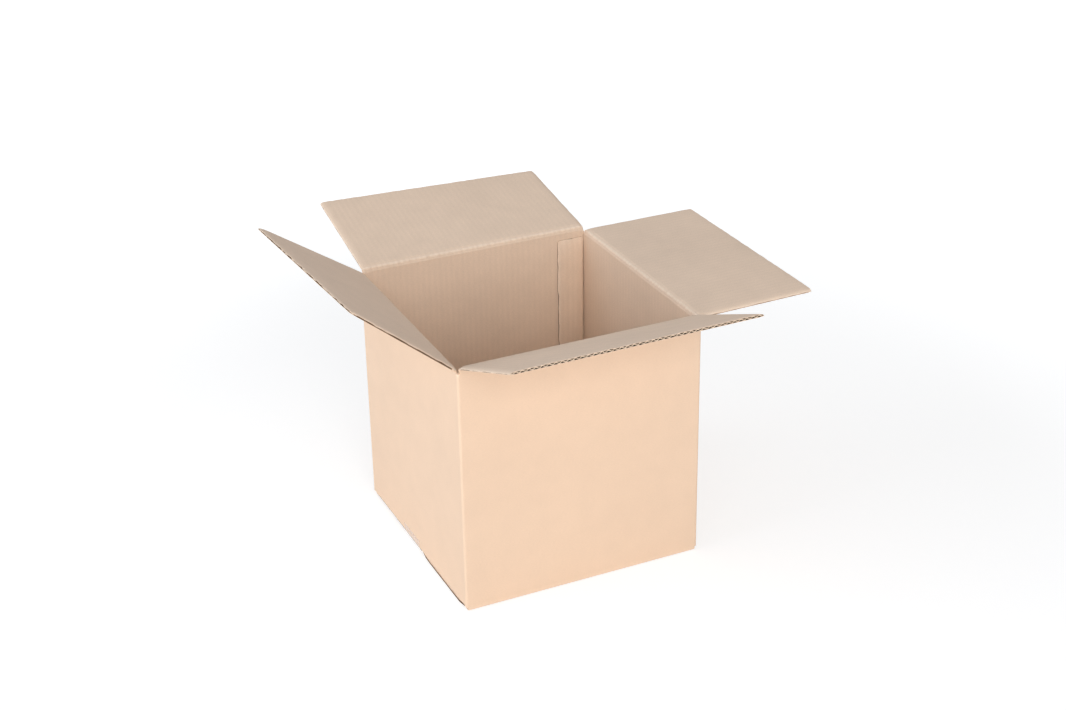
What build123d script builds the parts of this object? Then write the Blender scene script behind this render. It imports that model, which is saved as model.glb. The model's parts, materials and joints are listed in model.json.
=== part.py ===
from build123d import *
import math
import os

# Open cardboard box: a slotted carton folded from one sheet of corrugated board, in millimetres.
# X runs along the front wall, Y from front to back and Z up.
# The origin is on the ground, under the middle of the box.

# The space inside the closed box
inside_width = 300.0
inside_depth = 300.0
inside_height = 300.0

# The board: two liners with a fluted medium between them
board = 4.0
liner = 0.35
medium = 0.35
flute_pitch = 7.6
flute_bond = 0.8  # half the flat along which a flute is glued to its liner
flute_rim = 0.5  # least board left beside the outermost flute
crushed_length = 8.0  # stretch next to a crease where the flutes are pressed shut

# The folds
fold_radius = 3.0  # outside of a vertical or bottom fold
fold_gap = 0.2  # between a crease's turning line and each cut edge beside it
ply_gap = 0.3  # between two flaps that lie on each other
slot_overcut = 1.0  # how far a slot runs past the crease

# The flaps, measured from their crease; the front and back pair is the outer one
flap_length = 152.5
outer_flap_inset = 3.0  # outer flap's end, back from the outside of the wall
inner_flap_slack = 0.5  # between an inner flap's end and the wall that it passes
flap_corner_radius = 3.0

# How far each top flap leans outwards from upright, in degrees
front_lean_angle = 67.0
back_lean_angle = 77.0
left_lean_angle = 56.0
right_lean_angle = 90.0

# The glue tab, folded from the right wall and glued inside the back wall
tab_width = 35.0
tab_end_gap = 6.0  # from the tab's ends to the floor flaps and to the top crease
lap_setback = 2.0  # raw edge of the back wall, in from the right wall's outside

# The clear tape on the bottom seam
tape_width = 50.0
tape_offset = 18.0  # middle of the tape, behind the middle of the seam
tape_thickness = 0.2
tape_rise = 16.0  # height of the tape's ends above the ground
tape_gap = 0.2  # round the tape, to the board that it is pressed into

outside_width = inside_width + 2 * board
outside_depth = inside_depth + 2 * board

# Levels of the stacked flaps, from the ground up
inner_base = board + ply_gap
floor_top = inner_base + board
inner_crease = floor_top + inside_height + board
outer_crease = inner_crease + ply_gap + board
slot_bottom = inner_base + slot_overcut
slot_top = inner_crease - slot_overcut

outer_flap_width = outside_width - 2 * outer_flap_inset
inner_flap_width = inside_depth - 2 * inner_flap_slack

up = Vector(0, 0, 1)

# Each side: outward direction, distance of its outside from the middle, lean of its top flap,
# width of its flaps, underside of its bottom flap and level of its top crease
outer_pair = dict(width=outer_flap_width, base=0.0, crease=outer_crease)
inner_pair = dict(width=inner_flap_width, base=inner_base, crease=inner_crease)
sides = {
    "front": dict(outward=Vector(0, -1, 0), distance=outside_depth / 2, lean=front_lean_angle, **outer_pair),
    "back": dict(outward=Vector(0, 1, 0), distance=outside_depth / 2, lean=back_lean_angle, **outer_pair),
    "left": dict(outward=Vector(-1, 0, 0), distance=outside_width / 2, lean=left_lean_angle, **inner_pair),
    "right": dict(outward=Vector(1, 0, 0), distance=outside_width / 2, lean=right_lean_angle, **inner_pair),
}


def block(low, high):
    """A box between two opposite corners."""
    size = [high[i] - low[i] for i in range(3)]
    return Pos(*low) * Box(*size, align=(Align.MIN, Align.MIN, Align.MIN))


def wall_section(side):
    """The upright plane across the middle of a wall: inwards from its outside, and up from the ground."""
    inward = side["outward"] * -1
    wall_foot = side["outward"] * side["distance"]
    return Plane(origin=wall_foot, x_dir=inward, z_dir=inward.cross(up))


def wall_and_bottom_flap(side):
    """One wall and its bottom flap, folded from the same stretch of board."""
    base = side["base"]
    wall_top = side["crease"] - fold_gap
    outline = Polyline(
        (fold_radius, base),
        (flap_length, base),
        (flap_length, base + board),
        (board, base + board),
        (board, wall_top - board),
        (0, wall_top),
        (0, base + fold_radius),
    )
    fold = CenterArc((fold_radius, base + fold_radius), fold_radius, 180, 90)
    return extrude(wall_section(side) * make_face(outline + fold), amount=side["width"] / 2, both=True)


def corner_posts():
    """The tube of the four walls between the slots, with its rounded vertical folds."""
    ring = RectangleRounded(outside_width, outside_depth, fold_radius)
    ring -= Rectangle(inside_width, inside_depth)
    return Pos(0, 0, slot_bottom) * extrude(ring, amount=slot_top - slot_bottom)


def crease_cut(side):
    """The space over a wall's mitre, which its top flap turns in."""
    wall_top = side["crease"] - fold_gap
    mitre = Polyline(
        (0, wall_top),
        (board, wall_top - board),
        (board, side["crease"]),
        (0, side["crease"]),
        close=True,
    )
    width = side["width"] + 2 * inner_flap_slack
    return extrude(wall_section(side) * make_face(mitre), amount=width / 2, both=True)


def glue_tab():
    return block(
        (inside_width / 2 - tab_width, inside_depth / 2 - board, floor_top + tab_end_gap),
        (inside_width / 2, inside_depth / 2, inner_crease - board - tab_end_gap),
    )


def lap_corner_cut():
    """What is missing at the glued corner: the tab's fold, and the step to the back wall's raw edge."""
    right = outside_width / 2
    tab_face = inside_depth / 2
    step = block((right - lap_setback, tab_face, inner_base), (right, outside_depth / 2, outer_crease))
    corner = Pos(right - fold_radius, tab_face - fold_radius, inner_base)
    sharp = Rectangle(fold_radius, fold_radius, align=(Align.MIN, Align.MIN))
    rounding = corner * extrude(sharp - Circle(fold_radius), amount=outer_crease - inner_base)
    return step + rounding


def tape_recess():
    """The tape is pressed into the underside, so that the box stands flat."""
    half = tape_width / 2 + tape_gap
    return block(
        (-outside_width / 2, tape_offset - half, 0),
        (outside_width / 2, tape_offset + half, tape_thickness),
    )


def carton():
    """Walls, glue tab and folded bottom flaps: one folded sheet."""
    body = corner_posts()
    for side in sides.values():
        body += wall_and_bottom_flap(side)
    for side in sides.values():
        body -= crease_cut(side)
    body += glue_tab()
    body -= lap_corner_cut()
    return body - tape_recess()


def flute_channels(width):
    """The open flutes of a flap, side by side, alternately above and below the medium."""
    rise = board - 2 * liner - medium
    run = flute_pitch / 2 - 2 * flute_bond
    pull = medium / 2 * math.tan(math.atan2(rise, run) / 2)
    foot = flute_bond - pull
    head = flute_pitch / 2 - flute_bond - pull
    reach = math.floor((width / 2 - flute_rim - head) / (flute_pitch / 2))
    channels = []
    for step in range(-reach, reach + 1):
        centre = step * flute_pitch / 2
        widens_inwards = step % 2 == 0
        near, far = (foot, head) if widens_inwards else (head, foot)
        low = liner + medium if widens_inwards else liner
        high = low + rise
        corners = [
            (centre - near, low),
            (centre + near, low),
            (centre + far, high),
            (centre - far, high),
        ]
        channels.append(make_face(Polyline(*corners, close=True)))
    openings = Plane((0, flap_length, 0), x_dir=(1, 0, 0), z_dir=(0, -1, 0)) * Sketch(channels)
    return extrude(openings, amount=flap_length - crushed_length)


def top_flap(side):
    """A flap hinged at its outer face: mitred at the crease, its flutes open at the free edge."""
    outline = Polyline(
        (fold_gap, 0),
        (flap_length, 0),
        (flap_length, board),
        (board + fold_gap, board),
        close=True,
    )
    slab = extrude(Plane.YZ * make_face(outline), amount=side["width"] / 2, both=True)
    free_corners = slab.edges().filter_by(Axis.Z).group_by(Axis.Y)[-1]
    slab = fillet(free_corners, flap_corner_radius)
    slab -= flute_channels(side["width"])
    angle = math.radians(side["lean"])
    outward = side["outward"]
    inner_face = outward * -math.cos(angle) + up * math.sin(angle)
    crease_line = outward * side["distance"] + up * side["crease"]
    return Plane(origin=crease_line, x_dir=outward.cross(up), z_dir=inner_face) * slab


def bottom_tape():
    """Clear tape under the seam, its ends turned up the left and right walls."""
    flap_end = outer_flap_width / 2 + tape_gap
    wall = outside_width / 2
    against_board = [(flap_end, tape_thickness), (wall, inner_base), (wall, tape_rise)]
    outside = [(flap_end, 0), (wall + tape_thickness, inner_base), (wall + tape_thickness, tape_rise)]
    right_half = against_board + outside[::-1]
    left_half = [(-x, z) for x, z in outside + against_board[::-1]]
    section = Plane((0, tape_offset, 0), x_dir=(1, 0, 0), z_dir=(0, -1, 0))
    strip = make_face(Polyline(*right_half, *left_half, close=True))
    return extrude(section * strip, amount=tape_width / 2, both=True)


def build():
    parts = {"carton": carton(), "bottom_tape": bottom_tape()}
    for name, side in sides.items():
        parts["top_flap_" + name] = top_flap(side)
    return parts


os.makedirs("parts", exist_ok=True)
for node, shape in build().items():
    export_step(shape, f"parts/{node}.step")
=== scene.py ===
import json
import math
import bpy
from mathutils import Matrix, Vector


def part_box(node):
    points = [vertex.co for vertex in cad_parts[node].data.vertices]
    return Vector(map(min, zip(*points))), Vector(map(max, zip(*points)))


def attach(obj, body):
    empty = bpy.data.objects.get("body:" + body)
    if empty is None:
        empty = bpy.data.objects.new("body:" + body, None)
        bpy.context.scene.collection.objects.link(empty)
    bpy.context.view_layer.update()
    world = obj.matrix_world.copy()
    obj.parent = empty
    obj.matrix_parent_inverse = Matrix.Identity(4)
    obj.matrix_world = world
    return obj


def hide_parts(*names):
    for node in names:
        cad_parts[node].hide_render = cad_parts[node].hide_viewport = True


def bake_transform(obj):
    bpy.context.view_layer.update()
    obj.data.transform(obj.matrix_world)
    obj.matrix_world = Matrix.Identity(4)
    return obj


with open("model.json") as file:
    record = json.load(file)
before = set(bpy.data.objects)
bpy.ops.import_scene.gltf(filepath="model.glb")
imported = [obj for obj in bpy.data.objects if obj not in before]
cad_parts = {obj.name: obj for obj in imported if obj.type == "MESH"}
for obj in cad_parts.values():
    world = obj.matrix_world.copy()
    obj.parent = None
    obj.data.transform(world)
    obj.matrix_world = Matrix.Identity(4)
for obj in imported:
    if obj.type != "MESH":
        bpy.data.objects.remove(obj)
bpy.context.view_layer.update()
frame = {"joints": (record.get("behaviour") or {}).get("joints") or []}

from types import SimpleNamespace

import bmesh
import bpy
import numpy as np
from mathutils import Matrix, Vector

cartonLow, cartonHigh = (np.array(corner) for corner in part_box("carton"))
up = np.array([0.0, 0.0, 1.0])
mm = 0.001
fullTurn = 2 * math.pi
scaled = np.multiply.outer  # one direction times each of many lengths

# The corrugated board, in metres
stock = {
    "board": 4.0 * mm,
    "liner": 0.45 * mm,
    "medium": 1.05 * mm,
    "flutePitch": 7.6 * mm,
    "innerRipple": 0.035 * mm,  # how far the flutes show through each liner
    "outerRipple": 0.006 * mm,
    "sideReach": 2.4 * mm,  # how far in from a side cut the board is pressed thin
    "endReach": 3.5 * mm,
    "endLift": 0.5 * mm,  # the outer liner comes up a little, and the inner one down the rest
    "columnStep": 1.5 * mm,  # mesh spacing across the flutes
    "rowStep": 9.0 * mm,  # mesh spacing along the flutes
    "wallRowStep": 75.0 * mm,  # and up the walls
}

# How the walls are folded, in metres
folds = {
    "cornerRadius": 3.0 * mm,
    "insideRadius": 0.8 * mm,
    "rippleFade": 12.0 * mm,  # stretch beside a fold where the flutes stop showing
    "ringFoot": cartonLow[2] + 14.0 * mm,  # the walls' plain stretch starts above the bottom folds
    "ringHead": cartonHigh[2] - 10.1 * mm,  # and ends under the top creases
    "slotTop": cartonHigh[2] - 5.1 * mm,
    "slotBottom": cartonLow[2] + 5.3 * mm,
    "floorLevel": {"front": 0.0, "back": 0.0, "left": 4.3 * mm, "right": 4.3 * mm},
    "floorReach": 10.0 * mm,  # bottom fold's share of a floor flap
    "creaseReach": 6.0 * mm,  # crease strip's share of a top flap
    "bendReach": 2.6 * mm,  # how far each way from its turning line the board bends
    "crushed": 3.1 * mm,  # thickness left at a crease
    "wallGroove": 2.6 * mm,  # width of a crease's groove, on the wall and on the flap
    "flapGroove": 3.6 * mm,
    "outerCrush": 0.35 * mm,
    "foldWear": 0.16,
    "foldRub": 2.0 * mm,  # width of the rubbed paper beside a fold
    "slotWear": 0.95,
    "lapSetback": 2.0 * mm,  # back wall's raw edge, in from the right wall's outside
    "lapShift": 4.0 * mm,  # the glued corner's fold lies this much deeper than the others
    "outerSteps": 7,  # mesh steps round each corner of the outer and the inner liner
    "innerSteps": 3,
}


def readSides():
    sides = {}
    for joint in frame["joints"]:
        name = joint["child"].split("_")[0]
        node = "top_flap_" + name
        low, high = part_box(node)
        along = np.array(joint["axis"], float)
        sides[name] = SimpleNamespace(
            name=name,
            node=node,
            body=joint["child"],
            pivot=np.array(joint["pos_m"], float),
            along=along,
            outward=np.cross(along, up),
            halfWidth=float(np.abs(along) @ (np.array(high) - np.array(low))) / 2,
            lean=math.radians(-joint["range_deg"][0] - 90),
        )
    return sides


sides = readSides()
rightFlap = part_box("top_flap_right")
flapLength = rightFlap[1].x - sides["right"].pivot[0]
wallOrder = ("back", "left", "front", "right")  # from the raw edge round to the glue tab
wallHalf = cartonHigh[0]
foldStart = wallHalf - folds["cornerRadius"]


def smoothStep(low, high, x):
    t = np.clip((x - low) / (high - low), 0, 1)
    return t * t * (3 - 2 * t)


# A smooth random line through evenly spaced random heights, the same each run
def wander(x, spacing, seed):
    knotCount, middleKnot = 4096, 1024
    rng = np.random.default_rng(seed)
    knots = rng.uniform(-1, 1, knotCount)
    place = np.asarray(x) / spacing + middleKnot
    first = np.floor(place).astype(int)
    t = smoothStep(0, 1, place - first)
    return knots[first] * (1 - t) + knots[first + 1] * t


# The flutes' wave at a place across them
def fluteWave(u):
    return np.cos(fullTurn * u / stock["flutePitch"])


# Several random lines laid over each other, each with its own seed
def roughLine(x, lines, seed):
    return sum(share * wander(x, spacing, seed + k) for k, (spacing, share) in enumerate(lines))


# Collects grids of points into one mesh
class MeshMaker:
    smoothAngle = 40  # in degrees; sharper edges stay sharp

    def __init__(self):
        self.points = []
        self.faces = []
        self.materials = []
        self.uv = []
        self.wear = []
        self.count = 0

    def addPoints(self, points, uv, wear):
        start = self.count
        self.points.append(np.asarray(points, float).reshape(-1, 3))
        self.uv.append(np.asarray(uv, float).reshape(-1, 2))
        self.wear.append(np.asarray(wear, float).reshape(-1))
        self.count += len(self.points[-1])
        return start

    def addFaces(self, quads, material):
        self.faces.extend(quads)
        self.materials.extend([material] * len(quads))

    # Two grids of the same shape become one closed slab: its two faces and its four edges
    def addSlab(self, top, bottom, uv, wear, faceMaterials, edgeMaterial, closed=False, sideMaterial=None):
        rows, columns = top.shape[:2]
        grid = np.arange(rows * columns).reshape(rows, columns)
        topIndex = grid + self.addPoints(top, uv, wear)
        bottomIndex = grid + self.addPoints(bottom, uv, wear)
        if closed:
            topIndex = np.vstack([topIndex, topIndex[:1]])
            bottomIndex = np.vstack([bottomIndex, bottomIndex[:1]])
        self.addFaces(quadsOf(topIndex), faceMaterials[0])
        self.addFaces(quadsOf(bottomIndex[::-1]), faceMaterials[1])
        rims = [
            (topIndex[:, 0], bottomIndex[:, 0], edgeMaterial),
            (bottomIndex[:, -1], topIndex[:, -1], edgeMaterial),
        ]
        if not closed:
            sideMaterial = edgeMaterial if sideMaterial is None else sideMaterial
            rims += [
                (bottomIndex[0], topIndex[0], sideMaterial),
                (topIndex[-1], bottomIndex[-1], sideMaterial),
            ]
        for first, second, material in rims:
            self.addFaces(quadsOf(np.stack([first, second])), material)

    def build(self, name, materials):
        mesh = bpy.data.meshes.new(name)
        mesh.from_pydata(np.vstack(self.points), [], self.faces)
        for material in materials:
            mesh.materials.append(material)
        mesh.polygons.foreach_set("material_index", self.materials)
        return finishPiece(mesh, np.vstack(self.uv), np.concatenate(self.wear), self.smoothAngle)


def quadsOf(index):
    a, b, c, d = index[:-1, :-1], index[1:, :-1], index[1:, 1:], index[:-1, 1:]
    return np.stack([a, b, c, d], axis=-1).reshape(-1, 4).tolist()


# Gives a mesh its paper coordinates and wear (on the crease ridges also a painted highlight), turns its
# faces outwards and makes it an object
def finishPiece(mesh, uv, wear, smoothAngle):
    corners = np.zeros(len(mesh.loops), int)
    mesh.loops.foreach_get("vertex_index", corners)
    layer = mesh.uv_layers.new(name="boardUv")
    layer.data.foreach_set("uv", uv[corners].astype(np.float32).ravel())
    attribute = mesh.attributes.new("wear", "FLOAT", "POINT")
    attribute.data.foreach_set("value", wear.astype(np.float32))
    work = bmesh.new()
    work.from_mesh(mesh)
    bmesh.ops.recalc_face_normals(work, faces=work.faces)
    work.to_mesh(mesh)
    work.free()
    mesh.polygons.foreach_set("use_smooth", [True] * len(mesh.polygons))
    mesh.set_sharp_from_angle(angle=math.radians(smoothAngle))
    mesh.update()
    piece = bpy.data.objects.new(mesh.name, mesh)
    bpy.context.scene.collection.objects.link(piece)
    return piece


# Links each input that is given a socket, and sets the others
def connect(tree, inputs, values):
    for key, value in values.items():
        if isinstance(value, bpy.types.NodeSocket):
            tree.links.new(value, inputs[key])
        else:
            inputs[key].default_value = value


def makeNode(tree, kind, inputs=None, **settings):
    node = tree.nodes.new(kind)
    for key, value in settings.items():
        setattr(node, key, value)
    connect(tree, node.inputs, inputs or {})
    return node


# The second value is the node's own 0.5 unless it is given
def mathNode(tree, operation, first, second=0.5, third=None):
    inputs = {0: first, 1: second}
    if third is not None:
        inputs[2] = third
    return makeNode(tree, "ShaderNodeMath", inputs, operation=operation).outputs[0]


def vectorNode(tree, operation, inputs):
    return makeNode(tree, "ShaderNodeVectorMath", inputs, operation=operation).outputs[0]


# Noise from a row of its scale, detail, roughness and distortion
def noiseNode(tree, place, row):
    scale, detail, roughness, distortion = row
    inputs = {
        "Vector": place, "Scale": scale, "Detail": detail, "Roughness": roughness, "Distortion": distortion,
    }
    return makeNode(tree, "ShaderNodeTexNoise", inputs).outputs[0]


# Rises smoothly from 0 to 1 between the two ends of a range
def rampNode(tree, value, ends, heights=(0.0, 1.0)):
    inputs = {
        "Value": value, "From Min": ends[0], "From Max": ends[1], "To Min": heights[0], "To Max": heights[1],
    }
    return makeNode(tree, "ShaderNodeMapRange", inputs, interpolation_type="SMOOTHSTEP").outputs[0]


def bumpNode(tree, strength, distance, height):
    inputs = {"Strength": strength, "Distance": distance, "Height": height}
    return makeNode(tree, "ShaderNodeBump", inputs).outputs[0]


# Sockets 6 and 7 of this node are its two colours, and output 2 is the mixed one
def mixColour(tree, factor, first, second):
    inputs = {0: factor, 6: first, 7: second}
    return makeNode(tree, "ShaderNodeMix", inputs, data_type="RGBA", clamp_factor=True).outputs[2]


# Rows of socket kind and names
def addSockets(tree, inputs, outputs):
    for direction, rows in (("INPUT", inputs), ("OUTPUT", outputs)):
        for kind, names in rows:
            for name in names:
                tree.interface.new_socket(name=name, in_out=direction, socket_type="NodeSocket" + kind)
    return makeNode(tree, "NodeGroupInput").outputs, makeNode(tree, "NodeGroupOutput").inputs


# The paper's pattern, in metres of paper; noise rows are scale, detail, roughness, distortion
paperPattern = {
    "fibreStretch": (380, 1500, 900),
    "fibre": (1.0, 5.0, 0.65, 0.4),
    "speckleStretch": (900, 1700, 900),
    "speckle": (1.0, 2.0, 0.5, 0.0),
    "speckleEnds": (0.66, 0.78),
    "speckleTint": (0.72, 0.62, 0.52),
    "mottle": (34.0, 4.0, 0.55, 0.0),
    "cloud": (7.0, 2.0, 0.5, 0.0),
    "stripeMottle": 2.0,
    "roughness": (0.2, 0.68),  # the fibres' share, and the least
    "mottleHeight": 0.5,
    "rub": (260.0, 4.0, 0.6, 0.0),
    "rubSpread": (0.9, -0.45),
    "rubEnds": (0.2, 0.95),
    "bumpDistance": 0.25 * mm,
    "specular": 0.6,
}


# Kraft paper: long pale and dark fibres, soft mottling, and faint stripes across the flutes, a painted shade
# of their ripple
def kraftPaperGroup():
    pattern = paperPattern
    tree = bpy.data.node_groups.new("kraftPaper", "ShaderNodeTree")
    source, result = addSockets(
        tree,
        [
            ("Vector", ["Vector"]),
            ("Color", ["Colour"]),
            ("Float", ["Fibre Contrast", "Mottle", "Stripe", "Speckle", "Flute Pitch"]),
        ],
        [("Color", ["Colour"]), ("Float", ["Roughness", "Height"])],
    )
    place = source["Vector"]
    fibrePlace = vectorNode(tree, "MULTIPLY", {0: place, 1: pattern["fibreStretch"]})
    fibre = noiseNode(tree, fibrePlace, pattern["fibre"])
    specklePlace = vectorNode(tree, "MULTIPLY", {0: place, 1: pattern["speckleStretch"]})
    speckle = rampNode(tree, noiseNode(tree, specklePlace, pattern["speckle"]), pattern["speckleEnds"])
    mottle = noiseNode(tree, place, pattern["mottle"])
    cloud = noiseNode(tree, place, pattern["cloud"])
    # Stripes across the flutes: a painted shade of their ripple, patchy with the mottle
    across = makeNode(tree, "ShaderNodeSeparateXYZ", {0: place}).outputs[0]
    phase = mathNode(tree, "DIVIDE", across, source["Flute Pitch"])
    wave = mathNode(tree, "SINE", mathNode(tree, "MULTIPLY", phase, fullTurn))
    stripe = mathNode(tree, "MULTIPLY", wave, mathNode(tree, "MULTIPLY", mottle, pattern["stripeMottle"]))
    tone = mathNode(tree, "MULTIPLY", mathNode(tree, "SUBTRACT", fibre), source["Fibre Contrast"])
    for patches in (mottle, cloud):
        tone = mathNode(tree, "MULTIPLY_ADD", mathNode(tree, "SUBTRACT", patches), source["Mottle"], tone)
    tone = mathNode(tree, "MULTIPLY_ADD", stripe, source["Stripe"], tone)
    tone = mathNode(tree, "ADD", tone, 1.0)
    shaded = vectorNode(tree, "SCALE", {0: source["Colour"], "Scale": tone})
    dark = vectorNode(tree, "MULTIPLY", {0: shaded, 1: pattern["speckleTint"]})
    speckled = mixColour(tree, mathNode(tree, "MULTIPLY", speckle, source["Speckle"]), shaded, dark)
    connect(tree, result, {
        "Colour": speckled,
        "Roughness": mathNode(tree, "MULTIPLY_ADD", fibre, *pattern["roughness"]),
        "Height": mathNode(tree, "MULTIPLY_ADD", mottle, pattern["mottleHeight"], fibre),
    })
    return tree


# Rubbed paper along folds and cut edges, and a painted highlight along the crease ridges, from each point's
# own wear value
def rubbedEdgeGroup():
    tree = bpy.data.node_groups.new("rubbedEdge", "ShaderNodeTree")
    source, result = addSockets(
        tree,
        [("Vector", ["Vector"]), ("Float", ["Wear", "Amount"]), ("Color", ["Colour", "Rubbed Colour"])],
        [("Color", ["Colour"])],
    )
    breakUp = noiseNode(tree, source["Vector"], paperPattern["rub"])
    breakUp = mathNode(tree, "MULTIPLY_ADD", breakUp, *paperPattern["rubSpread"])
    worn = mathNode(tree, "ADD", source["Wear"], breakUp)
    amount = mathNode(tree, "MULTIPLY", rampNode(tree, worn, paperPattern["rubEnds"]), source["Amount"])
    connect(tree, result, {"Colour": mixColour(tree, amount, source["Colour"], source["Rubbed Colour"])})
    return tree


def srgb(red, green, blue):
    linear = []
    for value in (red, green, blue):
        share = value / 255
        linear.append(share / 12.92 if share <= 0.04045 else ((share + 0.055) / 1.055) ** 2.4)
    return (*linear, 1.0)


paperLooks = {
    "outerLiner": {
        "colour": srgb(233, 203, 176), "rubbed": srgb(250, 222, 197), "fibre": 0.2, "mottle": 0.07,
        "speckle": 0.14, "rub": 0.6, "bump": 0.2,
    },
    "innerLiner": {
        "colour": srgb(231, 206, 183), "rubbed": srgb(246, 226, 206), "fibre": 0.42, "mottle": 0.12,
        "stripe": 0.012, "speckle": 0.4, "rub": 0.7, "bump": 0.35,
    },
    "cutEdge": {
        "colour": srgb(214, 178, 146), "rubbed": srgb(246, 222, 198), "fibre": 0.6, "mottle": 0.5,
        "speckle": 0.6, "rub": 0.7, "bump": 0.6,
    },
    # Dark brown for slits and cut sides that lie in gaps: a painted shade of the gap, not the paper's colour
    "slitEdge": {
        "colour": srgb(98, 68, 46), "rubbed": srgb(150, 112, 82), "fibre": 0.6, "mottle": 0.5,
        "speckle": 0.6, "rub": 0.4, "bump": 0.6,
    },
    "sideEdge": {
        "colour": srgb(176, 143, 116), "rubbed": srgb(214, 184, 156), "fibre": 0.8, "mottle": 0.9,
        "speckle": 0.7, "rub": 0.35, "bump": 0.6,
    },
    "fluteMedium": {
        "colour": srgb(116, 84, 60), "rubbed": srgb(246, 220, 192), "fibre": 0.35, "mottle": 0.15,
        "speckle": 0.4, "rub": 0.9, "bump": 0.4,
    },
}


def newMaterial(name):
    material = bpy.data.materials.new(name)
    material.use_nodes = True
    return material, material.node_tree, material.node_tree.nodes["Principled BSDF"].inputs


def paperMaterial(name, look, groups):
    material, tree, shader = newMaterial(name)
    place = makeNode(tree, "ShaderNodeUVMap", uv_map="boardUv").outputs[0]
    wear = makeNode(tree, "ShaderNodeAttribute", attribute_name="wear").outputs["Fac"]
    paper = makeNode(tree, "ShaderNodeGroup", node_tree=groups["paper"])
    connect(tree, paper.inputs, {
        "Vector": place, "Colour": look["colour"], "Fibre Contrast": look["fibre"],
        "Mottle": look["mottle"], "Stripe": look.get("stripe", 0.0), "Speckle": look["speckle"],
        "Flute Pitch": stock["flutePitch"],
    })
    rubbed = makeNode(tree, "ShaderNodeGroup", node_tree=groups["rub"])
    connect(tree, rubbed.inputs, {
        "Vector": place, "Wear": wear, "Colour": paper.outputs["Colour"],
        "Rubbed Colour": look["rubbed"], "Amount": look["rub"],
    })
    connect(tree, shader, {
        "Base Color": rubbed.outputs["Colour"],
        "Roughness": paper.outputs["Roughness"],
        "Normal": bumpNode(tree, look["bump"], paperPattern["bumpDistance"], paper.outputs["Height"]),
        "Specular IOR Level": paperPattern["specular"],
    })
    return material


nodeGroups = {"paper": kraftPaperGroup(), "rub": rubbedEdgeGroup()}
papers = {name: paperMaterial(name, look, nodeGroups) for name, look in paperLooks.items()}
paperOrder = ("outerLiner", "innerLiner", "cutEdge", "slitEdge", "sideEdge")
paperSlots = [papers[name] for name in paperOrder]
outerFace, innerFace, cutFace, slitFacePaintedShade, sideFace = range(len(paperOrder))
print("paper made")


# Each top flap's extra outward lean in degrees and extra width in metres, at its first and last
# end going round the box anticlockwise as seen from above, how ragged its cut edges are, how much
# of the thickness is pressed out of its side cuts and its free edge, and how far its flutes show
flapHabits = {
    "front": {
        "lean": (0.9, 0.0), "wider": (1.0 * mm, 0.3 * mm), "ragged": 0.25 * mm, "radius": 3 * mm,
        "side": 0.76, "end": 0.2, "ripple": 0.6, "cut": "cutEdge",
    },
    "right": {
        "lean": (-0.8, 0.0), "wider": (0.0, 0.0), "ragged": 0.2 * mm, "radius": 5 * mm,
        "side": 0.78, "end": 0.25, "ripple": 0.25, "cut": "sideEdge",
    },
    "back": {
        "lean": (4.0, 0.2), "wider": (0.0, 0.8 * mm), "ragged": 0.35 * mm, "radius": 3 * mm,
        "side": 0.74, "end": 0.2, "ripple": 1.2, "cut": "cutEdge",
    },
    "left": {
        "lean": (0.0, -5.5), "wider": (0.0, 0.0), "ragged": 0.9 * mm, "radius": 5 * mm,
        "side": 0.6, "end": 0.56, "ripple": 0.6, "cut": "sideEdge",
    },
}


# Lean of a top flap at each place u along its crease
def leanAt(side, u):
    first, last = flapHabits[side.name]["lean"]
    return side.lean + np.radians(first + (last - first) * (u / side.halfWidth + 1) / 2)


# The same place moved outwards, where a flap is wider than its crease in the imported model
def widen(side, u, share=1.0):
    first, last = flapHabits[side.name]["wider"]
    along = (u / side.halfWidth + 1) / 2
    return u + share * (last * along - first * (1 - along))


# Points of a top flap: u along its crease, v from the crease to the free edge, w from its outer face in
def flapPoint(side, u, v, w):
    lean = leanAt(side, u)
    outwards = scaled(v * np.sin(lean) - w * np.cos(lean), side.outward)
    upwards = scaled(v * np.cos(lean) + w * np.sin(lean), up)
    return side.pivot + scaled(widen(side, u), side.along) + outwards + upwards


# Points of a bottom flap, lying flat: v from the outside of the wall inwards
def floorPoint(side, level, u, v, w):
    foot = side.pivot * np.array([1, 1, 0])
    inwards = scaled(v, -side.outward)
    return foot + scaled(u, side.along) + inwards + scaled(level + w, up)


# Cut edges of a stretch of board, in metres; random lines are given as (spacing, share)
cuts = {
    "endRows": np.array([5.0, 2.5, 1.0, 0.4]) * mm,  # mesh lines close to the edges
    "sideColumns": np.array([0.2, 0.6, 1.1, 1.8, 2.6, 3.6, 5.0]) * mm,
    "rowGap": 2.0 * mm,
    "endLines": ((4.5 * mm, 1.0), (1.9 * mm, 0.6)),
    "sideLines": ((3.0 * mm, 1.0), (1.0 * mm, 0.5)),
    "waveLines": ((14.0 * mm, 1.0), (5.0 * mm, 0.4)),
    "sideBand": 1.2 * mm,  # only mesh lines this near to a side cut are ragged
    "rippleStart": 4.0 * mm,
    "sideUneven": ((3.4 * mm, 0.17),),  # unevenness of the pressing, which starts beside the crease
    "endUneven": ((7.0 * mm, 0.3),),
    "unevenStart": 8.0 * mm,
    "unevenSeed": 11,
    "rub": 0.75,
    "rubReach": 2.2 * mm,
}


# Places along a strip as wide as its flap
def stripPlaces(halfWidth):
    return np.linspace(-halfWidth, halfWidth, int(2 * halfWidth / stock["columnStep"]) + 1)


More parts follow.
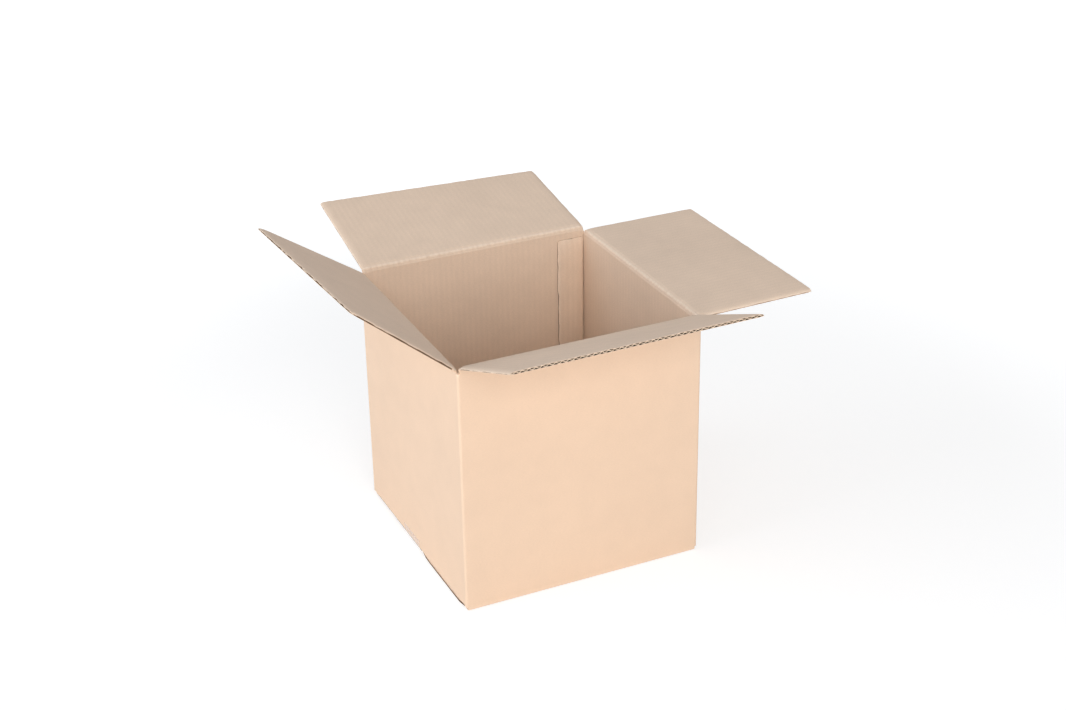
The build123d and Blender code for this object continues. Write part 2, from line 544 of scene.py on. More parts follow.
# A flat stretch of corrugated board: two liners, with room between them for the medium
def addBoardStretch(maker, place, halfWidth, near, far, look):
    seed, ragged, radius = look["seed"], look["ragged"], look["radius"]
    rows = int((far - near) / look.get("rowStep", stock["rowStep"])) + 2
    endRows = far - cuts["endRows"]
    plainRows = np.linspace(near, endRows[0] - cuts["rowGap"], rows)
    alongFlutes = np.concatenate([plainRows, endRows, [far]])
    sideColumns = halfWidth - cuts["sideColumns"]
    acrossFlutes = np.unique(np.concatenate([stripPlaces(halfWidth), sideColumns, -sideColumns]))
    u, v = np.meshgrid(acrossFlutes, alongFlutes, indexing="ij")
    beyond = np.clip(np.abs(u) - (halfWidth - radius), 0, radius)
    drop = radius - np.sqrt(np.maximum(radius ** 2 - beyond ** 2, 0))
    end = far - drop - np.abs(ragged * roughLine(u, cuts["endLines"], seed))
    v = near + (end - near) * (v - near) / (far - near)
    sideCut = np.abs(ragged * roughLine(v, cuts["sideLines"], seed + 2))
    u = u - np.sign(u) * sideCut * (np.abs(u) > halfWidth - cuts["sideBand"])
    if "wave" in look:
        u = u + look["wave"] * roughLine(v, cuts["waveLines"], seed + 4) * smoothStep(0, halfWidth, -u)
    thickness = boardThickness(u, v, halfWidth, near, end, look)
    shape = look["ripple"] * (fluteWave(u) * smoothStep(0, cuts["rippleStart"], v - near))
    lowFace = stock["endLift"] * (1 - thickness / stock["board"]) + stock["outerRipple"] * shape
    highFace = lowFace + thickness + stock["innerRipple"] * shape
    fromEdge = np.minimum(halfWidth - np.abs(u), end - v)
    wear = cuts["rub"] * (1 - smoothStep(0, cuts["rubReach"], fromEdge))
    uv = np.stack([u + look["uvShift"][0], v + look["uvShift"][1]], axis=-1)
    # Each liner's face towards the medium takes the dark slit colour, a painted shade inside the board
    slabs = (
        (lowFace + stock["liner"], lowFace, (slitFacePaintedShade, outerFace)),
        (highFace, highFace - stock["liner"], (innerFace, slitFacePaintedShade)),
    )
    for high, low, faces in slabs:
        maker.addSlab(
            place(u, v, high), place(u, v, low), uv, wear, faces,
            look.get("endMaterial", cutFace), sideMaterial=look["sideMaterial"],
        )


def sidePinch(u, halfWidth, look):
    return look["side"] * np.exp(-(halfWidth - np.abs(u)) / stock["sideReach"])


# The board's thickness, pressed unevenly towards its cut edges
def boardThickness(u, v, halfWidth, near, end, look):
    unevenSide = roughLine(v, cuts["sideUneven"], cuts["unevenSeed"])
    unevenSide = 1 + unevenSide * smoothStep(0, cuts["unevenStart"], v - near)
    unevenEnd = 1 + roughLine(u, cuts["endUneven"], cuts["unevenSeed"] + 1)
    atEnd = look["end"] * np.exp(-(end - v) / look.get("endReach", stock["endReach"])) * unevenEnd
    thickness = stock["board"] * (1 - sidePinch(u, halfWidth, look) * unevenSide) * (1 - atEnd)
    return np.maximum(thickness, 2 * stock["liner"])


# The medium's mesh, in metres
fluteMesh = {
    "narrower": 1.0 * mm,  # than the liners
    "shorter": 0.4 * mm,
    "columnsPerFlute": 14,
    "rows": 5,
    "leastRoom": 0.2 * mm,
    "tearScale": 400.0,
    "tear": (1.0, 2.0, 0.5, 0.0),
    "tearFrom": 0.45,  # share of the length, from its middle, past which the end is ragged
    "rubReach": 1.5 * mm,
    "smoothAngle": 50,
}


# The wavy medium between two liners, as a sheet: x across the flutes, y along them
def flutedMediumTree():
    tree = bpy.data.node_groups.new("flutedMedium", "GeometryNodeTree")
    source, result = addSockets(
        tree,
        [
            ("Geometry", ["Geometry"]),
            ("Float", ["Width", "Length", "Flute Pitch", "Wave Height", "Ragged End"]),
            ("Int", ["Columns", "Seed"]),
            ("Material", ["Material"]),
        ],
        [("Geometry", ["Geometry"])],
    )
    grid = makeNode(tree, "GeometryNodeMeshGrid", {
        "Size X": source["Width"], "Size Y": source["Length"],
        "Vertices X": source["Columns"], "Vertices Y": fluteMesh["rows"],
    })
    position = makeNode(tree, "GeometryNodeInputPosition")
    x, y, _ = makeNode(tree, "ShaderNodeSeparateXYZ", {0: position.outputs[0]}).outputs
    phase = mathNode(tree, "DIVIDE", x, source["Flute Pitch"])
    wave = mathNode(tree, "COSINE", mathNode(tree, "MULTIPLY", phase, fullTurn))
    lift = mathNode(tree, "MULTIPLY", wave, mathNode(tree, "MULTIPLY", source["Wave Height"]))
    tearInputs = {0: mathNode(tree, "MULTIPLY", x, fluteMesh["tearScale"]), 2: source["Seed"]}
    tearPlace = makeNode(tree, "ShaderNodeCombineXYZ", tearInputs).outputs[0]
    tear = noiseNode(tree, tearPlace, fluteMesh["tear"])
    limits = {0: y, 1: mathNode(tree, "MULTIPLY", source["Length"], fluteMesh["tearFrom"])}
    atEnd = makeNode(tree, "FunctionNodeCompare", limits, data_type="FLOAT", operation="GREATER_THAN")
    back = mathNode(tree, "MULTIPLY", source["Ragged End"], -1.0)
    pull = mathNode(tree, "MULTIPLY", mathNode(tree, "MULTIPLY", tear, back), atEnd.outputs[0])
    offset = makeNode(tree, "ShaderNodeCombineXYZ", {1: pull, 2: lift}).outputs[0]
    moved = makeNode(tree, "GeometryNodeSetPosition", {0: grid.outputs["Mesh"], "Offset": offset})
    real = makeNode(tree, "GeometryNodeRealizeInstances", {0: moved.outputs[0]})
    painted = makeNode(tree, "GeometryNodeSetMaterial", {0: real.outputs[0], "Material": source["Material"]})
    connect(tree, result, {0: painted.outputs[0]})
    return tree


mediumTree = flutedMediumTree()


def setInputs(modifier, values):
    for item in modifier.node_group.interface.items_tree:
        if item.item_type == "SOCKET" and item.in_out == "INPUT" and item.name in values:
            modifier[item.identifier] = values[item.name]


def plainMesh(carrier, name):
    bpy.context.view_layer.update()
    graph = bpy.context.evaluated_depsgraph_get()
    mesh = bpy.data.meshes.new_from_object(carrier.evaluated_get(graph))
    bpy.data.objects.remove(carrier)
    mesh.name = name
    return mesh


def fluteSheet(name, place, halfWidth, near, far, look):
    width = 2 * halfWidth - fluteMesh["narrower"]
    length = far - near - fluteMesh["shorter"]
    carrier = bpy.data.objects.new("carrier", bpy.data.meshes.new("carrier"))
    bpy.context.scene.collection.objects.link(carrier)
    flutes = carrier.modifiers.new("flutes", "NODES")
    flutes.node_group = mediumTree
    setInputs(flutes, {
        "Width": width,
        "Length": length,
        "Flute Pitch": stock["flutePitch"],
        "Wave Height": stock["board"] - 2 * stock["liner"] - stock["medium"],
        "Columns": int(width / stock["flutePitch"] * fluteMesh["columnsPerFlute"]),
        "Ragged End": look.get("raggedFlutes", 2 * look["ragged"]),
        "Seed": look["seed"],
        "Material": papers["fluteMedium"],
    })
    wall = carrier.modifiers.new("paper", "SOLIDIFY")
    wall.thickness = stock["medium"]
    wall.offset = 0
    mesh = plainMesh(carrier, name)
    points = np.zeros(len(mesh.vertices) * 3)
    mesh.vertices.foreach_get("co", points)
    points = points.reshape(-1, 3)
    u = points[:, 0]
    v = points[:, 1] + near + length / 2 + fluteMesh["shorter"] / 2
    thickness = boardThickness(u, v, halfWidth, near, far, look)
    room = np.maximum(thickness - 2 * stock["liner"], fluteMesh["leastRoom"])
    room = room / (stock["board"] - 2 * stock["liner"])
    w = stock["endLift"] * (1 - thickness / stock["board"]) + thickness / 2 + points[:, 2] * room
    mesh.vertices.foreach_set("co", place(u, v, w).ravel())
    wear = 1 - smoothStep(0, fluteMesh["rubReach"], far - v)
    return finishPiece(mesh, np.stack([u, v], axis=-1), wear, fluteMesh["smoothAngle"])


# Random seed of each kind of piece: on the first wall, and the step to the next
seeds = {"topFlap": (3, 7), "crease": (40, 5), "bottomFold": (70, 9)}


def seedOf(kind, name):
    first, step = seeds[kind]
    return first + step * wallOrder.index(name)


# Distance round the box, which the paper's grain follows
def aroundBox(name, u):
    return wallOrder.index(name) * 2 * wallHalf + wallHalf + u


# A top flap's two liners and its medium
def makeTopFlap(side, seed):
    title = "flap" + side.name.capitalize()
    habits = flapHabits[side.name]
    reach = folds["creaseReach"]

    def place(u, v, w):
        return flapPoint(side, u, v, w)

    maker = MeshMaker()
    look = {
        **habits,
        "seed": seed,
        "uvShift": (aroundBox(side.name, 0), side.pivot[2]),
        "sideMaterial": paperOrder.index(habits["cut"]),
    }
    addBoardStretch(maker, place, side.halfWidth, reach, flapLength, look)
    liners = maker.build(title + "Liners", paperSlots)
    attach(liners, side.body)
    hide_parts(side.node)
    medium = fluteSheet(title + "Flutes", place, side.halfWidth, reach, flapLength, look)
    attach(medium, side.body)


for name in wallOrder:
    makeTopFlap(sides[name], seedOf("topFlap", name))
print("top flaps made")


# Share of the flutes' ripple that shows on a wall, u from the wall's middle
def wallRipple(u):
    return smoothStep(0, folds["rippleFade"], foldStart - np.abs(u)) * fluteWave(u)


# Rows and wear of the crease strips, in metres; along the ridge the wear is rubbed paper and a painted
# highlight
creaseShape = {
    "rows": np.array([4.8, 4.0, 3.4, 2.8, 2.2, 1.6, 1.0, 0.5, 0.0]) * mm,
    "bendSteps": 11,
    "bendHeight": (0.8, 0.2),  # plain share of the thickness, and the share that a mitre stretches
    "bendRun": 1.5 * mm,  # length of paper over the bend
    "uneven": ((9.0 * mm, 0.05), (2.5 * mm, 0.03)),
    "tuckReach": 2.0 * mm,
    "pinchReach": 4.5 * mm,
    "widenReach": 4.0 * mm,
    "ridgeWear": {"wall": 0.12, "bend": 0.66, "flap": 0.14},
    "dash": 0.22,
    "dashLines": ((3.1 * mm, 0.25),),
    "endWear": 0.6,
    "endReach": 2.2 * mm,
}


# A crease strip's rows, each on the wall, in the bend or on the flap
def creaseRows(side):
    near, reach = creaseShape["rows"], folds["creaseReach"]
    drop = side.pivot[2] - folds["ringHead"]
    rows = [("wall", distance) for distance in (drop, (drop + near[0]) / 2, *near)]
    rows += [("bend", share) for share in np.linspace(0, 1, creaseShape["bendSteps"])[1:-1]]
    rows += [("flap", distance) for distance in (*near[::-1], (reach + near[0]) / 2, reach)]
    return rows


# How far the right wall's crease is drawn in beside the glued corner
def lapTuckAt(side, u):
    if side.name != "right":
        return np.zeros_like(u)
    radius = folds["cornerRadius"]
    past = np.clip(u - (wallHalf - folds["lapShift"] - radius), 0, radius)
    return radius - np.sqrt(radius ** 2 - past ** 2)


# Crease strips: the board bends here, pressed thin, from the wall into the top flap
def makeCrease(side, seed):
    form = creaseShape
    halfWidth = side.halfWidth
    u = stripPlaces(halfWidth)
    lean = leanAt(side, u)
    lapTuck = lapTuckAt(side, u)
    crushed = folds["crushed"] * (1 + roughLine(u, form["uneven"], seed))
    dashes = 1 + form["dash"] * fluteWave(u) + roughLine(u, form["dashLines"], seed + 2)
    endWear = form["endWear"] * (1 - smoothStep(0, form["endReach"], halfWidth - np.abs(u)))
    inner, outer, wear, uvRows = [], [], [], []
    for kind, step in creaseRows(side):
        onWall, inBend = kind == "wall", kind == "bend"
        distance = 0.0 if inBend else step
        groove = float(1 - smoothStep(0, folds["wallGroove" if onWall else "flapGroove"], distance))
        shape = (1 - groove) * (wallRipple(u) if onWall else 0 * u)
        height = stock["board"] - (stock["board"] - crushed) * groove
        if inBend:
            plain, mitred = form["bendHeight"]
            height = height * (plain + mitred / np.cos(np.minimum(step, 1 - step) * lean))
        stillWall = {"wall": 1.0, "bend": 1 - step, "flap": 0.0}[kind]
        tuck = folds["outerCrush"] * float(1 - smoothStep(0, form["tuckReach"], distance))
        pinch = sidePinch(u, halfWidth, flapHabits[side.name])
        spread = 1.0
        if onWall:
            pinch = pinch * (1 - smoothStep(0, form["pinchReach"], distance))
            spread = float(1 - smoothStep(0, form["widenReach"], distance))
        height = tuck + (height - tuck) * (1 - pinch) + stock["innerRipple"] * shape
        tuck = tuck + stock["endLift"] * pinch * groove + stock["outerRipple"] * shape + lapTuck * stillWall
        if onWall:
            inwards, rise = np.ones_like(u), np.zeros_like(u)
            start = scaled(np.full_like(u, -distance), up)
        else:
            turn = lean * step if inBend else lean
            inwards, rise = np.cos(turn), np.sin(turn)
            start = scaled(distance * np.sin(lean), side.outward)
            start = start + scaled(distance * np.cos(lean), up)
        direction = scaled(inwards, -side.outward) + scaled(rise, up)
        base = side.pivot + scaled(widen(side, u, spread), side.along) + start
        inner.append(base + direction * height[:, None])
        outer.append(base + direction * tuck[:, None])
        # Paler dashes along the bend: rubbed paper and a painted highlight on the crease ridge
        ridgeRubAndHighlight = form["ridgeWear"][kind] * {"wall": groove, "bend": 1.0, "flap": groove ** 2}[kind]
        wear.append(np.maximum(ridgeRubAndHighlight * dashes, endWear * (not onWall)))
        run = {"wall": -distance, "bend": form["bendRun"] * step, "flap": distance}[kind]
        grain = np.full_like(u, side.pivot[2] + run)
        uvRows.append(np.stack([aroundBox(side.name, u), grain], axis=-1))
    maker = MeshMaker()
    top, bottom, uv, wear = (np.stack(rows, axis=1) for rows in (inner, outer, uvRows, wear))
    maker.addSlab(top, bottom, uv, wear, (innerFace, outerFace), cutFace)
    crease = maker.build("crease" + side.name.capitalize(), paperSlots)
    half, bend, tilt = stock["board"] / 2, folds["bendReach"], side.lean
    start = side.pivot - side.outward * half - up * bend
    end = side.pivot + side.outward * (bend * math.sin(tilt) - half * math.cos(tilt))
    end = end + up * (bend * math.cos(tilt) + half * math.sin(tilt))
    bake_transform(crease)


for name in wallOrder:
    makeCrease(sides[name], seedOf("crease", name))
print("creases made")


# Way round the walls as rows of x, y, facing x, facing y, ripple, wear and distance
def roundTheBox(offset, radius, stepsPerCorner, lapped):
    half = wallHalf - offset
    straight = half - radius
    foldWear = folds["foldWear"]
    rows = []
    for name in wallOrder:
        along, outward = sides[name].along[:2], sides[name].outward[:2]
        first, last = -straight, straight
        if lapped and name == "back":
            first = folds["lapSetback"] - half
        if lapped and name == "right":
            last -= folds["lapShift"]
        for u in np.linspace(first, last, int((last - first) / stock["columnStep"]) + 1):
            toFold = min(u + straight if first == -straight else half, last - u)
            wear = foldWear * float(1 - smoothStep(0, folds["foldRub"], toFold))
            place = outward * half + along * u
            rows.append((*place, *outward, float(wallRipple(u)), wear, aroundBox(name, u)))
        centre = outward * straight + along * last
        for k in range(1, stepsPerCorner + (lapped and name == "right")):
            angle = k / stepsPerCorner * math.pi / 2
            facing = outward * math.cos(angle) + along * math.sin(angle)
            distance = aroundBox(name, last) + angle * radius
            rows.append((*(centre + facing * radius), *facing, 0.0, foldWear, distance))
    return np.array(rows)


# Walls between the bottom folds and the top creases: the outer liner is open at the glued corner
def addWalls(maker):
    foot, head = folds["ringFoot"], folds["ringHead"]
    heights = np.linspace(foot, head, int((head - foot) / stock["wallRowStep"]) + 2)
    outer = roundTheBox(0.0, folds["cornerRadius"], folds["outerSteps"], True)
    inner = roundTheBox(stock["board"] - stock["liner"], folds["insideRadius"], folds["innerSteps"], False)
    rings = (
        (outer, "outerRipple", (outerFace, cutFace)),
        (inner, "innerRipple", (cutFace, innerFace)),
    )
    for ring, ripple, faces in rings:
        flat = np.zeros((len(ring), 1))
        facing = np.concatenate([ring[:, 2:4], flat], axis=1)
        base = np.concatenate([ring[:, :2], flat], axis=1)
        outside = base - facing * (stock[ripple] * ring[:, 4])[:, None]
        inside = outside - facing * stock["liner"]
        top = outside[:, None, :] + up * heights[None, :, None]
        bottom = inside[:, None, :] + up * heights[None, :, None]
        uv = np.stack(np.broadcast_arrays(ring[:, 6][:, None], heights[None, :]), axis=-1)
        wear = np.broadcast_to(ring[:, 5][:, None], uv.shape[:2])
        maker.addSlab(top, bottom, uv, wear, faces, cutFace, closed=ripple == "innerRipple")


def arcPoints(centre, radius, fromAngle, toAngle, count=7):
    angles = np.radians(np.linspace(fromAngle, toAngle, count))
    return [(centre[0] + radius * math.cos(a), centre[1] + radius * math.sin(a)) for a in angles]


# The clear tape on the bottom seam, in metres
tapeLow, tapeHigh = (np.array(corner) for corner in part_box("bottom_tape"))
tape = {
    "film": 0.16 * mm,
    "skin": 0.02 * mm,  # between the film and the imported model's outside
    "tooth": 1.7 * mm,  # the dispenser's teeth along its cut ends
    "toothDepth": 0.5 * mm,
    "toothRun": 6.0 * mm,  # height above the left and right flaps' level where the teeth start
    "boardLift": 0.26 * mm,  # how far the tape is pressed into the board under the box
    "liftFade": 4.0 * mm,
    "climbFoot": 2.4 * mm,
    "turn": ((-0.15, 1.3), (-0.8, -0.6), (-1.7, -2.2), (-2.6, -3.5), (-3.4, -4.0)),  # millimetres
    "flatFrom": 5.0 * mm,
    "climbRows": 7,
    "flatRows": 16,
    "columns": 119,
}
tapeLook = {
    "colour": srgb(252, 236, 222), "cover": (0.24, 0.26), "roughness": (0.2, 0.12),
    "haze": (90.0, 4.0, 0.6, 0.8), "wrinkle": 0.35, "wrinkleDistance": 0.4 * mm,
}


# The board under the tape is pressed up by this much
def tapeLift(y):
    fade = tape["liftFade"]
    inside = smoothStep(0, fade, y - (tapeLow[1] - fade)) * smoothStep(0, fade, tapeHigh[1] + fade - y)
    return tape["boardLift"] * inside


# The floor flaps' flat stretches, in metres
floorHabits = {
    "spread": 2.3 * mm,  # how far the front one comes out under the left wall
    "spreadStart": 6.0 * mm,
    "spreadFade": (128.0 * mm, 140.0 * mm),
    "ragged": 0.15 * mm,
    "radius": 1.0 * mm,
    "raggedFlutes": 0.3 * mm,
    "side": 0.6,
    "spreadSide": 0.3,
    "end": 0.3,
    "ripple": 1.0,
    "rowStep": 15.0 * mm,
    "grainShift": -0.2,
    "foldWear": (0, 0.1, 0.5, 0.8, 0.9, 0.9, 0.9, 0.8, 0.5, 0.1, 0),
}


# Bottom fold of one wall, and the floor flap that it leads to
def addBottomFold(maker, side, seed):
    habits, name = floorHabits, side.name
    level, reach, foot = folds["floorLevel"][name], folds["floorReach"], folds["ringFoot"]
    radius, small, board = folds["cornerRadius"], folds["insideRadius"], stock["board"]
    outside = [(0, foot), (0, (foot + level + radius) / 2)]
    outside += arcPoints((radius, level + radius), radius, 180, 270)
    outside += [((radius + reach) / 2, level), (reach, level)]
    corner = (board + small, level + board + small)
    inside = [(board, foot), (board, (foot + corner[1]) / 2)]
    inside += arcPoints(corner, small, 180, 270)
    inside += [((corner[0] + reach) / 2, level + board), (reach, level + board)]
    halfWidth = side.halfWidth
    u = stripPlaces(halfWidth)
    foldPoint = side.outward * wallHalf

    def lay(profile):
        rows = [foldPoint - side.outward * v + up * z + scaled(u, side.along) for v, z in profile]
        return np.stack(rows, axis=1)

    run = np.array([z if v <= 0 else level + radius - v for v, z in outside])
    uv = np.stack(np.broadcast_arrays(aroundBox(name, u)[:, None], run[None, :]), axis=-1)
    wear = np.broadcast_to(np.array(habits["foldWear"])[None, :], uv.shape[:2])
    maker.addSlab(lay(inside), lay(outside), uv, wear, (innerFace, outerFace), cutFace)

    spread = habits["spread"] if name == "front" else 0

    def place(uu, vv, ww):
        out = spread * (1 - uu / halfWidth) / 2 * smoothStep(reach, reach + habits["spreadStart"], vv)
        uu = uu - out * (1 - smoothStep(*habits["spreadFade"], vv))
        points = floorPoint(side, level, uu, vv, ww)
        if level == 0:
            pressedIn = 1 - smoothStep(stock["liner"], 3 * stock["liner"], ww)
            points[..., 2] += tapeLift(points[..., 1]) * pressedIn
        return points

    look = {
        **habits,
        "seed": seed,
        "uvShift": (aroundBox(name, 0), habits["grainShift"]),
        "side": habits["spreadSide" if spread else "side"],
        # The floor flaps' sides, all but the spread one, take the dark slit colour as a painted shade
        "sideMaterial": sideFace if spread else slitFacePaintedShade,
    }
    addBoardStretch(maker, place, halfWidth, reach, flapLength, look)
    medium = fluteSheet("floorFlutes" + name.capitalize(), place, halfWidth, reach, flapLength, look)
    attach(medium, "carton")


# Short stretches of a vertical fold between a slot and the walls' plain stretch
def addCornerPosts(maker):
    radius, foldWear = folds["cornerRadius"], folds["foldWear"]
    inside = wallHalf - stock["board"]
    slotSide = sides["left"].halfWidth
    spans = (
        (folds["slotBottom"], folds["ringFoot"], foldWear),
        (folds["ringHead"], folds["slotTop"], folds["slotWear"]),
    )
    for low, high, topWear in spans:
        for signX, signY in ((-1, -1), (1, -1), (-1, 1)):
            outline = [(foldStart, inside), (inside, inside), (inside, slotSide), (wallHalf, slotSide)]
            outline += arcPoints((foldStart, foldStart), radius, 0, 90)
            outline = [(signX * x, signY * y) for x, y in outline]
            addPrism(maker, outline, (low, high), (foldWear, topWear))
        edge = wallHalf - folds["lapSetback"]
        outline = [(foldStart, inside), (edge, inside), (edge, wallHalf), (foldStart, wallHalf)]
        addPrism(maker, outline, (low, high), (foldWear, topWear))


def addPrism(maker, outline, heights, wears):
    ring = np.array([(x, y, z) for z in heights for x, y in outline])
    count = len(outline)
    uv = np.stack([ring[:, 0] + ring[:, 1], ring[:, 2]], axis=-1)
    start = maker.addPoints(ring, uv, np.repeat(wears, count))
    bottom = [start + k for k in range(count)]
    top = [start + count + k for k in range(count)]
    maker.addFaces([[bottom[k - 1], bottom[k], top[k], top[k - 1]] for k in range(count)], outerFace)
    maker.addFaces([bottom[::-1], top], cutFace)


# The glue tab inside the back wall, in metres
tab = {
    "right": 149.2 * mm,
    "left": 113.2 * mm,
    "crevice": 1.7 * mm,  # how much wider the gap beside its fold is at its foot than at its head
    "outerFace": 150.0 * mm,
    "foot": 14.3 * mm,
    "head": 305.5 * mm,
    "wave": 0.7 * mm,  # how far its die-cut edge wanders
    "ragged": 0.25 * mm,
    "raggedFlutes": 0.5 * mm,
    "radius": 2.0 * mm,
    "side": 0.66,
    "end": 0.77,
    "endReach": 7.0 * mm,
    "ripple": 3.0,
    "seed": 120,
}


def addGlueTab(maker):
    middle, half = (tab["left"] + tab["right"]) / 2, (tab["right"] - tab["left"]) / 2

    def place(u, v, w):
        lower = (tab["head"] - v) / (tab["head"] - tab["foot"])
        x = middle + u - tab["crevice"] * lower * (u / half + 1) / 2
        return np.stack(np.broadcast_arrays(x, tab["outerFace"] - w, v), axis=-1)

    look = {
        **tab,
        "uvShift": (aroundBox("right", wallHalf) + half, 0),
        "endMaterial": sideFace,
        # The tab's cut sides take the dark slit colour, a painted shade of the crevice beside it
        "sideMaterial": slitFacePaintedShade,
    }
    addBoardStretch(maker, place, half, tab["foot"], tab["head"], look)
    medium = fluteSheet("tabFlutes", place, half, tab["foot"], tab["head"], look)
    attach(medium, "carton")


def makeCarton():
    maker = MeshMaker()
    addWalls(maker)
    addCornerPosts(maker)
    for name in wallOrder:
        addBottomFold(maker, sides[name], seedOf("bottomFold", name))
    addGlueTab(maker)
    carton = maker.build("cartonBody", paperSlots)
    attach(carton, "carton")
    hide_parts("carton")


makeCarton()
print("carton made")


def tapeMaterial():
    look = tapeLook
    material, tree, shader = newMaterial("clearTape")
    haze = noiseNode(tree, makeNode(tree, "ShaderNodeTexCoord").outputs["Object"], look["haze"])
    connect(tree, shader, {
        "Base Color": look["colour"],
        "Alpha": mathNode(tree, "MULTIPLY_ADD", haze, *look["cover"]),
        "Roughness": mathNode(tree, "MULTIPLY_ADD", haze, *look["roughness"]),
        "Normal": bumpNode(tree, look["wrinkle"], look["wrinkleDistance"], haze),
    })
    return material


# Clear tape: under the seam, over the left and right bottom folds, and up the walls
def makeTape():
    film = tape["film"] / 2
    wall = tapeHigh[0] - tape["skin"] - film
    ground = tapeLow[2] + tape["skin"] + film
    rise = tapeHigh[2]
    level = folds["floorLevel"]["right"]
    climb = [(wall, z) for z in np.linspace(level + tape["climbFoot"], rise, tape["climbRows"])[::-1]]
    climb += [(wall + x * mm, max(level + z * mm, ground)) for x, z in tape["turn"]]
    half = climb + [(x, ground) for x in np.linspace(wall - tape["flatFrom"], 0, tape["flatRows"])]
    path = np.array(half + [(-x, z) for x, z in half[-2::-1]])
    step = np.gradient(path, axis=0)
    step /= np.linalg.norm(step, axis=1)[:, None]
    outside = np.stack([-step[:, 1], step[:, 0]], axis=1)
    y = np.linspace(tapeLow[1], tapeHigh[1], tape["columns"])
    saw = np.abs(y / tape["tooth"] % 1 - 0.5) * 2 * tape["toothDepth"]
    shorter = smoothStep(level + tape["toothRun"], rise, path[:, 1])

    def sheet(offset):
        line = path + outside * offset
        z = line[None, :, 1] - saw[:, None] * shorter[None, :]
        return np.stack(np.broadcast_arrays(line[None, :, 0], y[:, None], z), axis=-1)

    maker = MeshMaker()
    run = np.concatenate([[0], np.cumsum(np.linalg.norm(np.diff(path, axis=0), axis=1))])
    uv = np.stack(np.broadcast_arrays(y[:, None], run[None, :]), axis=-1)
    maker.addSlab(sheet(film), sheet(-film), uv, np.zeros(uv.shape[:2]), (0, 0), 0)
    tapeStrip = maker.build("seamTape", [tapeMaterial()])
    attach(tapeStrip, "carton")
    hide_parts("bottom_tape")


makeTape()
print("tape made")


# The camera, in metres, degrees and pixels
cameraView = {
    "place": (-0.8457, -1.8833, 1.2524),
    "azimuth": -24.38,
    "elevation": 26.269,
    "roll": -1.153,
    "focalPixels": 1896.7,
    "pictureWidth": 1066,
    "sensorWidth": 36.0,
    "clipEnd": 50,
}


def makeCamera(view):
    azimuth, elevation, roll = (math.radians(view[key]) for key in ("azimuth", "elevation", "roll"))
    back = np.array([
        math.sin(azimuth) * math.cos(elevation),
        -math.cos(azimuth) * math.cos(elevation),
        math.sin(elevation),
    ])
    right = np.array([math.cos(azimuth), math.sin(azimuth), 0.0])
    top = np.cross(back, right)
    turnedRight = math.cos(roll) * right + math.sin(roll) * top
    turnedTop = -math.sin(roll) * right + math.cos(roll) * top
    data = bpy.data.cameras.new("camera")
    data.sensor_width = view["sensorWidth"]
    data.lens = view["focalPixels"] / view["pictureWidth"] * data.sensor_width
    data.clip_end = view["clipEnd"]
    camera = bpy.data.objects.new("camera", data)
    bpy.context.scene.collection.objects.link(camera)
    matrix = Matrix.Identity(4)
    for column, vector in enumerate((turnedRight, turnedTop, back, view["place"])):
        for row in range(3):
            matrix[row][column] = vector[row]
    camera.matrix_world = matrix
    bpy.context.scene.camera = camera


# Light and floor, in metres and watts
studio = {
    "worldStrength": 0.444,
    "worldColour": (0.96, 0.985, 1.03),
    "floorReach": 8.0,
    "floorLevel": -0.4 * mm,
    "floorBounce": 0.9,
    "floorShown": 0.5,
    "floorGlow": (0.62, 1.0),  # near the box and far from it; the dimmer glow near the box is a painted shade round it
    "floorGlowReach": (0.6, 1.8),
    "aim": (0, 0, 0.2),
    "lamps": {
        "frontLamp": {"power": 79.0, "size": 2.2, "place": (-0.6, -4.2, 2.2), "colour": (1.0, 0.985, 0.96)},
        "lowLamp": {"power": 44.0, "size": 3.4, "place": (-2.1, -3.8, 1.5), "colour": (1.0, 0.985, 0.96)},
        "leftLamp": {"power": 90.0, "size": 3.4, "place": (-4.0, 0.6, 1.8), "colour": (0.88, 0.94, 1.0)},
    },
}


# Light goes by the first shader, and what the camera and reflections see by the second
def chooseShader(tree, lit, shown):
    path = makeNode(tree, "ShaderNodeLightPath").outputs
    seen = mathNode(tree, "MAXIMUM", path["Is Camera Ray"], path["Is Glossy Ray"])
    seen = mathNode(tree, "MAXIMUM", seen, path["Is Transmission Ray"])
    return makeNode(tree, "ShaderNodeMixShader", {0: seen, 1: lit, 2: shown}).outputs[0]


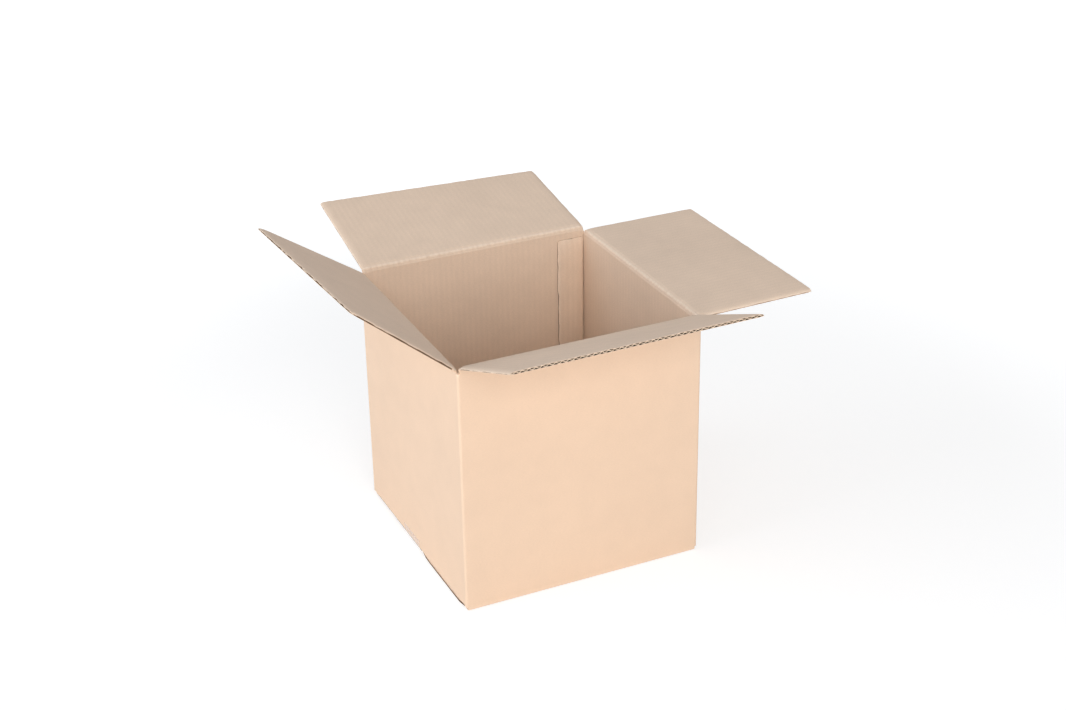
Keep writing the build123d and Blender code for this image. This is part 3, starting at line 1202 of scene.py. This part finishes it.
def makeWorld():
    world = bpy.data.worlds.new("studio")
    bpy.context.scene.world = world
    world.use_nodes = True
    tree = world.node_tree
    lit = tree.nodes["Background"]
    connect(tree, lit.inputs, {0: (*studio["worldColour"], 1), 1: studio["worldStrength"]})
    shown = makeNode(tree, "ShaderNodeBackground", {0: (1, 1, 1, 1), 1: 1.0})
    chosen = {0: chooseShader(tree, lit.outputs[0], shown.outputs[0])}
    connect(tree, tree.nodes["World Output"].inputs, chosen)


def floorMaterial():
    material, tree, _ = newMaterial("studioFloor")
    tree.nodes.remove(tree.nodes["Principled BSDF"])
    bounce, shown = (
        makeNode(tree, "ShaderNodeBsdfDiffuse", {"Color": (*[studio[key]] * 3, 1)}).outputs[0]
        for key in ("floorBounce", "floorShown")
    )
    place = makeNode(tree, "ShaderNodeTexCoord").outputs["Object"]
    away = makeNode(tree, "ShaderNodeVectorMath", {0: place}, operation="LENGTH").outputs["Value"]
    # The floor's glow is dimmer near the box: a painted shade round it
    strength = rampNode(tree, away, studio["floorGlowReach"], studio["floorGlow"])
    glow = makeNode(tree, "ShaderNodeEmission", {"Strength": strength})
    lit = makeNode(tree, "ShaderNodeAddShader", {0: shown, 1: glow.outputs[0]})
    connect(tree, tree.nodes["Material Output"].inputs, {0: chooseShader(tree, bounce, lit.outputs[0])})
    return material


def makeFloor():
    mesh = bpy.data.meshes.new("floor")
    reach, level = studio["floorReach"], studio["floorLevel"]
    corners = [(x * reach, y * reach, level) for x, y in ((-1, -1), (1, -1), (1, 1), (-1, 1))]
    mesh.from_pydata(corners, [], [(0, 1, 2, 3)])
    mesh.materials.append(floorMaterial())
    floor = bpy.data.objects.new("floor", mesh)
    bpy.context.scene.collection.objects.link(floor)


def makeLamp(name, power, size, place, colour):
    data = bpy.data.lights.new(name, "AREA")
    data.energy = power
    data.color = colour
    data.size = size
    lamp = bpy.data.objects.new(name, data)
    lamp.location = place
    lamp.rotation_euler = (Vector(studio["aim"]) - Vector(place)).to_track_quat("-Z", "Y").to_euler()
    bpy.context.scene.collection.objects.link(lamp)


makeCamera(cameraView)
makeWorld()
makeFloor()
for name, lamp in studio["lamps"].items():
    makeLamp(name, **lamp)
bpy.context.scene.view_settings.view_transform = "Standard"
print("studio made")
